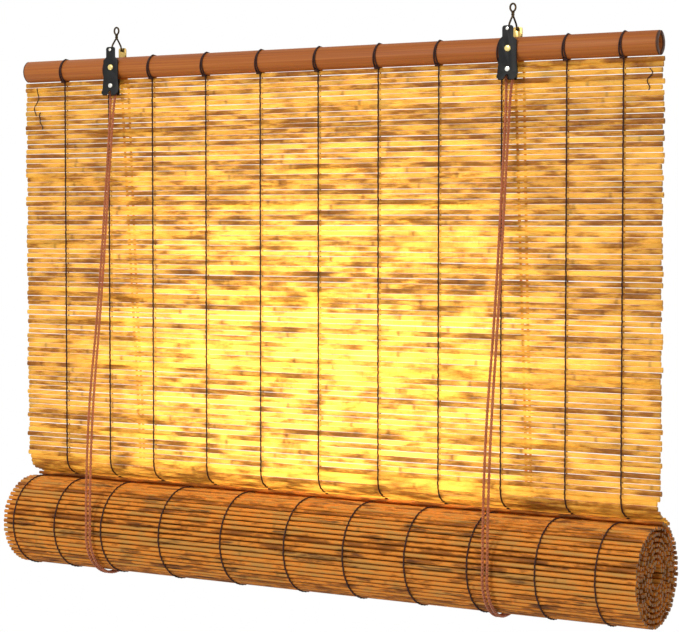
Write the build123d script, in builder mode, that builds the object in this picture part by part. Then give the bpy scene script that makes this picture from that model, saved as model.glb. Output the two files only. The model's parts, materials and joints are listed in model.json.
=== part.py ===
"""Reed roll-up shade, partly raised, hung from two wire hangers.

Lengths are in millimetres. X runs along the shade's width, +Y points away from the viewer
and +Z up. The origin is midway between the centres of the two hanger eyes.
"""

import os
from math import acos, atan2, cos, degrees, pi, radians, sin, tan

from build123d import *

# Mat of reeds
mat_width = 900.0
reed_pitch = 6.23
reed_height = 4.83
reed_thickness = 4.2
reed_bevel = 1.1
web_thickness = 1.2
hanging_reeds = 83
reeds_in_rail = 4
clearance = 0.3

# Warp twines: the margins outside them, and the shares that the bays take of the rest
left_margin = 63.2
right_margin = 43.3
twine_bays = [72.2, 70.1, 83.3, 82.2, 84.7, 84.5, 82.3, 82.6, 82.3, 69.3]
twine_width = 1.4
twine_thickness = 0.8
ring_sides = 24
lashing_sides = 8

# Head rail: two split bamboo laths with the mat's top between them
rail_top = -34.0
rail_height = 27.2
lath_depth = 9.4
lath_wall = 4.4
grip_clearance = 0.1
drill_length = 60.0

# Rolled part of the mat
roll_radius = 60.2
turn_pitch = 6.2
half_turns = 16
groove_depth = 1.6
groove_width = 1.8
bend_radius = 20.0
bend_reeds = 4

# How far each twine has slipped to the left along the reeds, round the roll
ring_slips = [45.0, 49.0, 43.0, 34.8, 23.0, 14.5, 15.6, 14.0, 14.0, 10.0, 5.4]

# Brackets: the twine that each one is beside, counted from the left, and how far to its right
bracket_places = {"left": (2, 11.3), "right": (9, 12.7)}
plate_thickness = 1.5
plate_width = 20.0
plate_foot_width = 26.0
plate_foot_drop = 21.3
plate_foot_corner = 3.25
flare_drop = 8.2
flare_angle = 25.0
tab_width = 12.0
tab_height = 13.0
tab_corner_radius = 3.0
tab_hole_height = 9.3
rear_plate_width = 12.0
rear_plate_thickness = 1.2
rear_plate_drop = 10.0
rivet_drop = 13.0
rivet_radius = 2.2
rivet_head_radius = 4.3
rivet_head_height = 1.5
rivet_head_taper = 40.0
jam_slot_height = 6.5
jam_slot_mouth = 8.0
jam_slot_neck = 2.4

# Pulley
pin_drop = 9.2
pin_radius = 1.6
pin_head_radius = 3.4
pin_head_height = 1.2
pin_head_taper = 30.0
pulley_radius = 6.6
pulley_groove_radius = 3.8
pulley_width = 5.0
running_clearance = 0.08
groove_clearance = 0.1
inner_plate_thickness = 1.2
inner_plate_width = 15.0

# Cords
cord_diameter = 3.0
cord_sides = 6
rear_bend_radius = 4.0
knot_radius = 3.0
knot_taper = 30.0

# Hangers
wire_radius = 0.95
eye_radius = 4.15
neck_height = 5.0
neck_radius = 1.5
wire_sides = 6
hanger_half_span = 9.6
hanger_foot_rise = 5.0
hanger_bend_radius = 2.4
hanger_foot_radius = 1.9
hanger_foot_stickout = 1.0

# Sizes that follow
half_thickness = reed_thickness / 2
reed_gap = reed_pitch - reed_height
lath_inner_y = half_thickness + grip_clearance
rail_face_y = lath_inner_y + lath_depth
rail_middle = rail_top - rail_height / 2
rail_bottom = rail_top - rail_height
lath_radius = ((rail_height / 2) ** 2 + lath_depth**2) / (2 * lath_depth)
lath_centre_y = rail_face_y - lath_radius
plate_y = rail_face_y + grip_clearance
plate_bottom = rail_bottom - plate_foot_drop
pivot_z = rail_top + tab_hole_height
tab_top = rail_top + tab_height
rivet_z = rail_top - rivet_drop
pin_z = rail_bottom - pin_drop
bay_share = (mat_width - left_margin - right_margin) / sum(twine_bays)
twine_x = [-mat_width / 2 + left_margin]
for bay in twine_bays:
    twine_x.append(twine_x[-1] + bay * bay_share)
ring_x = [x - slip for x, slip in zip(twine_x, ring_slips)]
bracket_x = {}
for side, (twine, beside) in bracket_places.items():
    bracket_x[side] = twine_x[twine - 1] + beside
twine_gap = clearance
twine_face = half_thickness + twine_gap + twine_thickness
ring_inner_radius = (roll_radius + twine_gap) / cos(pi / ring_sides)
ring_radius = ring_inner_radius + twine_thickness
cord_radius = cord_diameter / 2
strand_x = pulley_groove_radius + cord_radius + groove_clearance
sling_radius = roll_radius + clearance + cord_radius
inner_plate_y = half_thickness + twine_gap + twine_thickness + clearance
pulley_back_y = inner_plate_y + inner_plate_thickness + clearance
pulley_y = pulley_back_y + pulley_width / 2
rear_plate_bottom = rail_bottom - rear_plate_drop
rear_hole_z = rail_bottom - rear_plate_drop / 2

# The mat bends back on to the roll: an arc that meets a circle just outside the roll
lead_radius = ring_radius + clearance + half_thickness
bend_angle = degrees(acos(1 - lead_radius / (lead_radius + bend_radius)))
mat_top_z = rail_bottom + reeds_in_rail * reed_pitch - reed_gap
mat_bottom_z = mat_top_z - hanging_reeds * reed_pitch + reed_gap
bend_top_z = mat_bottom_z - clearance
roll_axis_z = bend_top_z - (lead_radius + bend_radius) * sin(radians(bend_angle))

os.makedirs("parts", exist_ok=True)


def write(name, solid):
    """Labels a finished piece and writes its STEP file."""
    solid.label = name
    export_step(solid, f"parts/{name}.step")


def ridged_outline(place, count):
    """Outline of a wall of reeds. place(distance, offset) is a point beside its centre line."""
    web, flat = web_thickness / 2, half_thickness
    steps = []
    for reed in range(count):
        start = reed * reed_pitch
        if reed:
            steps.append((start, web))
        steps.append((start + reed_bevel, flat))
        steps.append((start + reed_height - reed_bevel, flat))
        if reed < count - 1:
            steps.append((start + reed_height, web))
    length = count * reed_pitch - reed_gap
    front = [place(0, -web)] + [place(s, -out) for s, out in steps] + [place(length, -web)]
    back = [place(0, web)] + [place(s, out) for s, out in steps] + [place(length, web)]
    return front + back[::-1]


# The hanging mat: one wall of reeds, open between each reed and the next
def hanging_place(distance, offset):
    return (offset, mat_top_z - distance)


with BuildPart() as reed_mat:
    with BuildSketch(Plane.YZ.offset(-mat_width / 2)):
        with BuildLine():
            Polyline(*ridged_outline(hanging_place, hanging_reeds), close=True)
        make_face()
    extrude(amount=mat_width)
    gap_length = twine_x[-1] - twine_x[0] + 2 * twine_width
    gaps = [
        ((twine_x[0] + twine_x[-1]) / 2, 0, mat_top_z - n * reed_pitch + reed_gap / 2)
        for n in range(1, hanging_reeds)
    ]
    with Locations(*gaps):
        Box(gap_length, reed_thickness, reed_gap, mode=Mode.SUBTRACT)
    with Locations(*[(x, 0, rivet_z) for x in bracket_x.values()]):
        Cylinder(
            rivet_radius + grip_clearance, reed_thickness, rotation=(90, 0, 0), mode=Mode.SUBTRACT
        )
write("reed_mat", reed_mat.part)


# The bend: the next reeds, turning back over the top of the roll
def bend_place(distance, offset):
    angle = distance / bend_radius
    radius = bend_radius - offset
    return (bend_radius - radius * cos(angle), bend_top_z - radius * sin(angle))


with BuildPart() as mat_bend:
    with BuildSketch(Plane.YZ.offset(-mat_width / 2)):
        with BuildLine():
            Polyline(*ridged_outline(bend_place, bend_reeds), close=True)
        make_face()
    extrude(amount=mat_width)
write("mat_bend", mat_bend.part)


# The roll: one spiral wall of half circles about two centres, grooved between its outer reeds
def spiral_centre(half_turn):
    """Centre of a half circle of the spiral, beside the roll's axis."""
    shift = turn_pitch / 2 if half_turn % 2 else 0.0
    return (
        -shift * cos(radians(bend_angle)),
        roll_axis_z - shift * sin(radians(bend_angle)),
    )


def spiral_point(half_turn, radius, angle):
    centre = spiral_centre(half_turn)
    return (
        centre[0] + radius * cos(radians(angle)),
        centre[1] + radius * sin(radians(angle)),
    )


with BuildPart() as rolled_mat:
    with BuildSketch(Plane.YZ.offset(-mat_width / 2)):
        with BuildLine():
            for half_turn in range(half_turns):
                outer = roll_radius - half_turn * turn_pitch / 2
                for radius in (outer, outer - reed_thickness):
                    start = bend_angle - 180 * half_turn
                    ThreePointArc(
                        spiral_point(half_turn, radius, start),
                        spiral_point(half_turn, radius, start - 90),
                        spiral_point(half_turn, radius, start - 180),
                    )
            Line(
                spiral_point(0, roll_radius, bend_angle),
                spiral_point(0, roll_radius - reed_thickness, bend_angle),
            )
            last, end = half_turns - 1, bend_angle - 180 * half_turns
            inner = roll_radius - last * turn_pitch / 2
            Line(
                spiral_point(last, inner, end),
                spiral_point(last, inner - reed_thickness, end),
            )
        make_face()
        groove_step = degrees(reed_pitch / roll_radius)
        for groove in range(1, int(360 / groove_step)):
            turned = groove * groove_step
            half_turn = int(turned // 180)
            surface = roll_radius - half_turn * turn_pitch / 2
            angle = bend_angle - turned
            half_width = degrees(groove_width / 2 / surface)
            with BuildLine():
                Polyline(
                    spiral_point(half_turn, surface + clearance, angle - half_width),
                    spiral_point(half_turn, surface - groove_depth, angle),
                    spiral_point(half_turn, surface + clearance, angle + half_width),
                    close=True,
                )
            make_face(mode=Mode.SUBTRACT)
    extrude(amount=mat_width)
write("rolled_mat", rolled_mat.part)


# Twines round the roll, one ring for each warp twine
with BuildPart() as roll_twines:
    for x in ring_x:
        with BuildSketch(Plane.YZ.offset(x - twine_width / 2)):
            with Locations((0, roll_axis_z)):
                RegularPolygon(ring_radius, ring_sides)
                RegularPolygon(ring_inner_radius, ring_sides, mode=Mode.SUBTRACT)
        extrude(amount=twine_width)
write("roll_twines", roll_twines.part)


# Head rail laths: split bamboo, round outside and hollow inside
def rail_lath(name, facing):
    """A lath on one side of the mat. facing is -1 for the front one and 1 for the rear one."""
    with BuildPart() as lath:
        with BuildSketch(Plane.YZ.offset(-mat_width / 2)):
            with BuildLine():
                Line(
                    (facing * lath_inner_y, rail_top),
                    (facing * lath_inner_y, rail_bottom),
                )
                ThreePointArc(
                    (facing * lath_inner_y, rail_bottom),
                    (facing * rail_face_y, rail_middle),
                    (facing * lath_inner_y, rail_top),
                )
            make_face()
            with BuildLine():
                hollow = rail_height / 2 - lath_wall
                Line(
                    (facing * lath_inner_y, rail_middle + hollow),
                    (facing * lath_inner_y, rail_middle - hollow),
                )
                ThreePointArc(
                    (facing * lath_inner_y, rail_middle - hollow),
                    (facing * (rail_face_y - lath_wall), rail_middle),
                    (facing * lath_inner_y, rail_middle + hollow),
                )
            make_face(mode=Mode.SUBTRACT)
        extrude(amount=mat_width)
        with Locations(*[(x, facing * rail_face_y, rivet_z) for x in bracket_x.values()]):
            Cylinder(
                rivet_radius + grip_clearance,
                drill_length,
                rotation=(90, 0, 0),
                mode=Mode.SUBTRACT,
            )
    write(name, lath.part)


rail_lath("front_batten", -1)
rail_lath("rear_batten", 1)


# Lashings: each warp twine's loop round the rail
def rail_outline(grown):
    """Points round the rail's outside, with the twine's thickness or gap added."""
    half_angle = atan2(rail_height / 2, lath_inner_y - lath_centre_y)
    step = 2 * half_angle / lashing_sides
    radius = (lath_radius + grown) / cos(step / 2)
    points = []
    for facing in (-1, 1):
        for corner in range(lashing_sides + 1):
            angle = half_angle - corner * step
            out = lath_centre_y + radius * cos(angle)
            points.append((facing * out, rail_middle - facing * radius * sin(angle)))
    return points


for number, x in enumerate(twine_x, start=1):
    with BuildPart() as lashing:
        with BuildSketch(Plane.YZ.offset(x - twine_width / 2)):
            with BuildLine():
                Polyline(*rail_outline(grip_clearance + twine_thickness), close=True)
            make_face()
            with BuildLine():
                Polyline(*rail_outline(grip_clearance), close=True)
            make_face(mode=Mode.SUBTRACT)
        extrude(amount=twine_width)
    write(f"rail_lashing_{number:02d}", lashing.part)

    # The same twine below the rail: a run in front of the reeds and one behind them
    twine_top = rail_bottom - grip_clearance - twine_thickness - clearance
    twine_length = twine_top - mat_bottom_z
    with BuildPart() as twine:
        run_y = twine_face - twine_thickness / 2
        with Locations(*[(x, side * run_y, twine_top - twine_length / 2) for side in (-1, 1)]):
            Box(twine_width, twine_thickness, twine_length)
    write(f"warp_twine_{number:02d}", twine.part)


# Brackets, pulleys, cords and hangers
def cord_section():
    """A cord's section, drawn inside a sketch."""
    RegularPolygon(cord_radius, cord_sides)


def front_plate(side, x):
    """Black strap down the rail's face, with a flared foot that has the cord's jam slot."""
    flare_top = plate_bottom + flare_drop
    with BuildPart() as plate:
        with BuildSketch(Plane.XZ.offset(plate_y)):
            with BuildLine():
                half_tab, half, foot = tab_width / 2, plate_width / 2, plate_foot_width / 2
                shoulder = rail_top - (half - half_tab)
                Polyline(
                    (x - half_tab, tab_top),
                    (x + half_tab, tab_top),
                    (x + half_tab, rail_top),
                    (x + half, shoulder),
                    (x + half, rail_bottom),
                    (x + foot, flare_top),
                    (x - foot, flare_top),
                    (x - half, rail_bottom),
                    (x - half, shoulder),
                    (x - half_tab, rail_top),
                    close=True,
                )
            make_face()
        extrude(amount=plate_thickness)
        fillet(
            plate.edges().filter_by(Axis.Y).group_by(Axis.Z)[-1], radius=tab_corner_radius
        )
        flare_plane = Plane(
            origin=(x, -plate_y - plate_thickness, flare_top),
            x_dir=(1, 0, 0),
            z_dir=(0, cos(radians(flare_angle)), -sin(radians(flare_angle))),
        )
        reach = flare_drop / cos(radians(flare_angle))
        buried = plate_thickness * tan(radians(flare_angle))
        with BuildSketch(flare_plane):
            with BuildLine():
                foot, corner = plate_foot_width / 2, plate_foot_corner
                Polyline(
                    (-foot, -buried),
                    (-foot, reach - corner),
                    (-foot + corner, reach),
                    (-jam_slot_mouth / 2, reach),
                    (-jam_slot_neck / 2, reach - jam_slot_height),
                    (jam_slot_neck / 2, reach - jam_slot_height),
                    (jam_slot_mouth / 2, reach),
                    (foot - corner, reach),
                    (foot, reach - corner),
                    (foot, -buried),
                    close=True,
                )
            make_face()
        extrude(amount=plate_thickness)
        with Locations((x, -plate_y, rivet_z)):
            Cylinder(
                rivet_radius + grip_clearance,
                drill_length,
                rotation=(90, 0, 0),
                mode=Mode.SUBTRACT,
            )
        with Locations((x, -plate_y, pin_z)):
            Cylinder(
                pin_radius + running_clearance,
                drill_length,
                rotation=(90, 0, 0),
                mode=Mode.SUBTRACT,
            )
        with Locations((x, -plate_y, pivot_z)):
            Cylinder(
                wire_radius + running_clearance,
                drill_length,
                rotation=(90, 0, 0),
                mode=Mode.SUBTRACT,
            )
    write(f"front_plate_{side}", plate.part)


def inner_plate(side, x):
    """Angle behind the pulley, with its lip under the front lath."""
    top = rail_bottom - clearance
    lip = plate_y - clearance - inner_plate_y
    with BuildPart() as plate:
        with BuildSketch(Plane.YZ.offset(x - inner_plate_width / 2)):
            with BuildLine():
                back, front = -inner_plate_y, -inner_plate_y - inner_plate_thickness
                Polyline(
                    (back, top),
                    (back, plate_bottom),
                    (front, plate_bottom),
                    (front, top - inner_plate_thickness),
                    (back - lip, top - inner_plate_thickness),
                    (back - lip, top),
                    close=True,
                )
            make_face()
        extrude(amount=inner_plate_width)
        with Locations((x, -inner_plate_y, pin_z)):
            Cylinder(
                pin_radius + running_clearance,
                drill_length,
                rotation=(90, 0, 0),
                mode=Mode.SUBTRACT,
            )
    write(f"inner_plate_{side}", plate.part)


def rear_plate(side, x):
    """Brass strap down the rail's back, with a tab for the hanger and two cord holes."""
    half = rear_plate_width / 2
    wide = strand_x + cord_diameter
    with BuildPart() as plate:
        with BuildSketch(Plane.XZ.offset(-plate_y - rear_plate_thickness)):
            with BuildLine():
                Polyline(
                    (x - half, tab_top),
                    (x + half, tab_top),
                    (x + half, rail_bottom + half),
                    (x + wide, rail_bottom),
                    (x + wide, rear_plate_bottom),
                    (x - wide, rear_plate_bottom),
                    (x - wide, rail_bottom),
                    (x - half, rail_bottom + half),
                    close=True,
                )
            make_face()
        extrude(amount=rear_plate_thickness)
        fillet(
            plate.edges().filter_by(Axis.Y).group_by(Axis.Z)[-1], radius=tab_corner_radius
        )
        with Locations((x, plate_y, rivet_z)):
            Cylinder(
                rivet_radius + grip_clearance,
                drill_length,
                rotation=(90, 0, 0),
                mode=Mode.SUBTRACT,
            )
        with Locations((x, plate_y, pivot_z)):
            Cylinder(
                wire_radius + running_clearance,
                drill_length,
                rotation=(90, 0, 0),
                mode=Mode.SUBTRACT,
            )
        with Locations(*[(x + turn * strand_x, plate_y, rear_hole_z) for turn in (-1, 1)]):
            Cylinder(
                cord_radius + grip_clearance,
                drill_length,
                rotation=(90, 0, 0),
                mode=Mode.SUBTRACT,
            )
    write(f"rear_plate_{side}", plate.part)


def rail_rivet(side, x):
    """Rivet through both plates, both laths and the mat, with a domed head at each end."""
    shank = plate_y + plate_thickness
    rear = plate_y + rear_plate_thickness
    with BuildPart() as rivet:
        with BuildSketch(Plane.XZ.offset(shank)):
            with Locations((x, rivet_z)):
                Circle(rivet_radius)
        extrude(amount=-(shank + rear))
        for face_y, facing in ((-shank, -1), (rear, 1)):
            dome = Plane(
                origin=(x, face_y, rivet_z), x_dir=(1, 0, 0), z_dir=(0, facing, 0)
            )
            with BuildSketch(dome):
                Circle(rivet_head_radius)
            extrude(amount=rivet_head_height, taper=rivet_head_taper)
    write(f"rail_rivet_{side}", rivet.part)


def pulley_pin(side, x):
    """Pin that carries the pulley between the front plate and the inner plate."""
    front = plate_y + plate_thickness
    with BuildPart() as pin:
        with BuildSketch(Plane.XZ.offset(front)):
            with Locations((x, pin_z)):
                Circle(pin_radius)
        extrude(amount=-(front - inner_plate_y))
        with BuildSketch(Plane.XZ.offset(front)):
            with Locations((x, pin_z)):
                Circle(pin_head_radius)
        extrude(amount=pin_head_height, taper=pin_head_taper)
    write(f"pulley_pin_{side}", pin.part)


def pulley(side, x):
    """Grooved wheel that the cord turns over."""
    half = pulley_width / 2
    with BuildPart() as wheel:
        with BuildSketch(Plane.XY):
            with BuildLine():
                groove = strand_x - pulley_groove_radius
                Polyline(
                    (pulley_groove_radius, groove),
                    (pulley_radius, groove),
                    (pulley_radius, half),
                    (pin_radius + running_clearance, half),
                    (pin_radius + running_clearance, -half),
                    (pulley_radius, -half),
                    (pulley_radius, -groove),
                    (pulley_groove_radius, -groove),
                    close=True,
                )
            make_face()
        revolve(axis=Axis.Y)
    write(f"pulley_{side}", Location((x, -pulley_y, pin_z)) * wheel.part)


def front_cords(side, x):
    """The two strands from the pulley down to the front of the roll."""
    top = Vector(0, -pulley_y, pin_z - pulley_radius - clearance)
    foot = Vector(0, -sling_radius, roll_axis_z + clearance)
    with BuildPart() as runs:
        for turn in (-1, 1):
            shift = Vector(x + turn * strand_x, 0, 0)
            with BuildSketch(Plane(origin=top + shift, z_dir=foot - top)):
                cord_section()
            extrude(amount=(foot - top).length)
    write(f"front_cords_{side}", runs.part)


def pulley_loop(side, x):
    """The cord's half turn over the pulley, and its two strands as far as the rim."""
    with BuildPart() as loop:
        with BuildSketch(Plane.XY.offset(pin_z)):
            with Locations((x + strand_x, -pulley_y)):
                cord_section()
        revolve(axis=Axis((x, -pulley_y, pin_z), (0, -1, 0)), revolution_arc=180)
        with BuildSketch(Plane.XY.offset(pin_z)):
            with Locations(*[(x + turn * strand_x, -pulley_y) for turn in (-1, 1)]):
                cord_section()
        extrude(amount=-pulley_radius)
    write(f"pulley_loop_{side}", loop.part)


def rear_cords(side, x):
    """The two strands from their knots in the rear plate down to the back of the roll."""
    start = Vector(0, plate_y - knot_radius, rear_hole_z)
    corner = Vector(0, plate_y + rear_plate_thickness + rear_bend_radius + cord_radius, rear_hole_z)
    foot = Vector(0, sling_radius, roll_axis_z + clearance)
    with BuildPart() as runs:
        for turn in (-1, 1):
            shift = Vector(x + turn * strand_x, 0, 0)
            with BuildLine():
                FilletPolyline(
                    start + shift, corner + shift, foot + shift, radius=rear_bend_radius
                )
            with BuildSketch(Plane(origin=start + shift, z_dir=(0, 1, 0))):
                cord_section()
            sweep()
            with BuildSketch(Plane(origin=start + shift, z_dir=(0, -1, 0))):
                RegularPolygon(knot_radius, cord_sides)
            extrude(amount=knot_radius, both=True, taper=knot_taper)
    write(f"rear_cords_{side}", runs.part)


def hanger(side, x):
    """Wire hanger: an eye, a twisted neck and two legs whose feet turn in the plates' tabs."""
    leg = (
        (x, 0, -eye_radius - neck_height + wire_radius),
        (x, -hanger_half_span, pivot_z + hanger_foot_rise),
        (x, -hanger_half_span, pivot_z),
        (x, -plate_y - plate_thickness - hanger_foot_stickout, pivot_z),
    )
    with BuildPart() as wire:
        with BuildLine():
            FilletPolyline(*leg, radius=[hanger_bend_radius, hanger_foot_radius])
        with BuildSketch(Plane(origin=leg[0], z_dir=Vector(*leg[1]) - Vector(*leg[0]))):
            RegularPolygon(wire_radius, wire_sides)
        sweep()
        mirror(about=Plane.XZ)
        with BuildSketch(Plane.XY.offset(-eye_radius - neck_height)):
            with Locations((x, 0)):
                RegularPolygon(neck_radius, wire_sides)
        extrude(amount=neck_height)
        with BuildSketch(Plane.XY):
            with Locations((x + eye_radius, 0)):
                RegularPolygon(wire_radius, wire_sides)
        revolve(axis=Axis((x, 0, 0), (0, 1, 0)))
    write(f"hanger_{side}", wire.part)


for side, x in bracket_x.items():
    front_plate(side, x)
    inner_plate(side, x)
    rear_plate(side, x)
    rail_rivet(side, x)
    pulley_pin(side, x)
    pulley(side, x)
    front_cords(side, x)
    pulley_loop(side, x)
    rear_cords(side, x)
    hanger(side, x)

# Slings: the cords' half turns under the roll
with BuildPart() as cord_slings:
    for x in bracket_x.values():
        for turn in (-1, 1):
            with BuildSketch(Plane.XY.offset(roll_axis_z)):
                with Locations((x + turn * strand_x, sling_radius)):
                    cord_section()
            revolve(axis=Axis((0, 0, roll_axis_z), (-1, 0, 0)), revolution_arc=180)
write("cord_slings", cord_slings.part)

print("roll axis", roll_axis_z)
print("pulley loop radius", strand_x)
print("sling radius", sling_radius)
print("rear bend radius", rear_bend_radius)
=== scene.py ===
"""Dresses the reed roll-up shade: its reeds, twines, cords, rail and brackets."""

import json
import random
from math import acos, atan2, cos, pi, radians, sin

import bmesh
import bpy
from mathutils import Matrix, Vector, noise


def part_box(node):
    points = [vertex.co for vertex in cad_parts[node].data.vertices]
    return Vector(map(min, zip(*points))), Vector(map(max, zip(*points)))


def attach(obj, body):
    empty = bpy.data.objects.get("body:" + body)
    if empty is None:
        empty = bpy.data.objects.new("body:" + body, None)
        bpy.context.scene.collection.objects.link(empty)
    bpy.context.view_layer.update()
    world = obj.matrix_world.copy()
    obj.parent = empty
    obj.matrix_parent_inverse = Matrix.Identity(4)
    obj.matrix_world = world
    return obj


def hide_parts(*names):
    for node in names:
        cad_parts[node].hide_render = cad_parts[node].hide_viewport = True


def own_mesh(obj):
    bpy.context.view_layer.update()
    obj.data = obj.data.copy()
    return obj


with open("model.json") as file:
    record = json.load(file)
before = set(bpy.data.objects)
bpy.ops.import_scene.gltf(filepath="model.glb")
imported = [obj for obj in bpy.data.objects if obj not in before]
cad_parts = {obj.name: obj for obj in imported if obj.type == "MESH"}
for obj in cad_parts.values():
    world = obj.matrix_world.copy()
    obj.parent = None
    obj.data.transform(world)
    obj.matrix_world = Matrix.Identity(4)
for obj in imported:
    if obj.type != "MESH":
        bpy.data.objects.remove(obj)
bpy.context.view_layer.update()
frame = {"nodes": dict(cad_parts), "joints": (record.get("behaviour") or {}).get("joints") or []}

bl_info = {
    "name": "Reed roll-up shade",
    "version": (1, 0, 0),
    "blender": (4, 5, 0),
    "location": "3D View > Sidebar > Shade",
    "description": "Models the reeds, twines, cords and brackets of a roll-up shade",
    "category": "Add Mesh",
}

MM = 0.001
JOINTS = {joint["name"]: joint for joint in frame["joints"]}
LIFT = JOINTS["roll_lift"]["range_m"][1]
SIDES = ("left", "right")

# The mat, from its solids
MAT_LOW, MAT_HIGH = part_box("reed_mat")
PITCH = 6.23 * MM
REED_HEIGHT = 4.83 * MM
HALF_GAP = (PITCH - REED_HEIGHT) / 2
REED_THICKNESS = MAT_HIGH.y - MAT_LOW.y
MAT_REEDS = round((MAT_HIGH.z - MAT_LOW.z + PITCH - REED_HEIGHT) / PITCH)
HALF_WIDTH = MAT_HIGH.x
RAIL_LOW, RAIL_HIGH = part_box("front_batten")
RAIL_BOTTOM, RAIL_TOP = RAIL_LOW.z, RAIL_HIGH.z
RAIL_FACE_Y = -RAIL_LOW.y
RAIL_BACK_Y = -RAIL_HIGH.y

# How uneven a reed is: least depth, waves and swellings for each metre, and how much it swells
LEAST_DEPTH = 0.86
WAVES = 6.0
SWELLINGS = 11.0
SWELL = 0.10

# The roll: two-centred spiral, as its solid
ROLL_Z = JOINTS["roll_turn"]["pos_m"][2]
ROLL_RADIUS = 60.2 * MM
TURN_PITCH = 6.2 * MM
HALF_TURNS = 16
BEND_RADIUS = 20 * MM
LEAD_RADIUS = (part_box("roll_twines")[1].z - ROLL_Z) + 0.3 * MM + REED_THICKNESS / 2
BEND_ANGLE = acos(1 - LEAD_RADIUS / (LEAD_RADIUS + BEND_RADIUS))
BEND_TOP_Z = ROLL_Z + (LEAD_RADIUS + BEND_RADIUS) * sin(BEND_ANGLE)
BEND_REEDS = 4
LEAD_REEDS = 4
RAIL_REEDS = 4
TIDY_HALF_TURNS = 2
LOOSENESS = 0.9 * MM

# Twines on the hanging mat, and how far each has slipped to the left by the front of the roll, in mm
TWINE_X = [sum(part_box(f"warp_twine_{n:02d}")[i].x for i in (0, 1)) / 2 for n in range(1, 12)]
RING_SLIPS = [45.0, 49.0, 43.0, 34.8, 23.0, 14.5, 15.6, 14.0, 14.0, 10.0, 5.4]
RING_X = [x - slip * MM for x, slip in zip(TWINE_X, RING_SLIPS)]
RING_REEDS = 58
THREAD_DIP = 0.45 * MM
LASHING_FEET = (-3.6 * MM, 0.6 * MM)
LASHING_TOP = 1.4 * MM
LASHING_STEPS = 40
TWINE_KNOT = 1.5 * MM

# Brackets, and the two strands of cord at each
BRACKET_X = {side: sum(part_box(f"pulley_{side}")[i].x for i in (0, 1)) / 2 for side in SIDES}
PIN = {side: Vector(JOINTS[f"pulley_{side}_turn"]["pos_m"]) for side in SIDES}
PIVOT_Z = JOINTS["hanger_left_swing"]["pos_m"][2]
CORD_RADIUS = 1.8 * MM
STRAND_X = 5.4 * MM
STRAND_GAP = 3.0 * MM
SLING_RADIUS = 63.6 * MM
SLIP = 9 * MM
CORD_DROP = 6.9 * MM
LOOP_DROP = 6.6 * MM
BRAID_STRANDS = 4
BRAID_STEPS = 10
CORD_KNOT, KNOT_THREAD = 1.3 * MM, 0.9 * MM
ROUTE_STEPS = 16
STRAP_WIDEN = 1.14
WIRE_RADIUS = 1.15 * MM
CAP_RADIUS, CAP_DEPTH, CAP_EDGE = 2.0 * MM, 0.9 * MM, 0.35 * MM

# Left-over threads near the mat's edges: X, top, length and a seed for each
LOOSE_ENDS = [
    (-0.434, RAIL_BOTTOM - 8 * MM, 36 * MM, 3.7),
    (-0.427, RAIL_BOTTOM - 40 * MM, 22 * MM, 8.2),
    (0.437, RAIL_BOTTOM - 14 * MM, 24 * MM, 5.1),
]

# Stage
FLOOR_SIZE = 2.2
WORLD_LIGHT = 0.43
VIEW_MIDDLE = Vector((0.0, 0.0, -0.36))
KEY_PLACE, KEY_SIZE = Vector((-0.5, -2.7, 1.0)), 0.5
FILL_PLACE, FILL_SIZE = Vector((2.2, -1.6, 0.9)), 1.8
WINDOW_PLACE, WINDOW_AIM = Vector((0.0, 0.26, -0.43)), Vector((0.0, 0.0, -0.43))
WINDOW_WIDTH, WINDOW_HEIGHT = 0.46, 0.28
CAMERA_PLACE = Vector((1.3823, -2.1521, -0.2402))
CAMERA_AIM = Vector((0.03446, 0.0, -0.35788))


class Maths:
    """A number socket of a material, with Python's operators."""

    def __init__(self, tree, socket):
        self.tree = tree
        self.socket = socket

    def join(self, operation, *values):
        return self.tree.node("ShaderNodeMath", {"operation": operation}, [self, *values])

    def __add__(self, other):
        return self.join("ADD", other)

    __radd__ = __add__

    def __mul__(self, other):
        return self.join("MULTIPLY", other)

    __rmul__ = __mul__

    def __sub__(self, other):
        return self.join("SUBTRACT", other)

    def __rsub__(self, other):
        return (self * -1) + other


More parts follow.
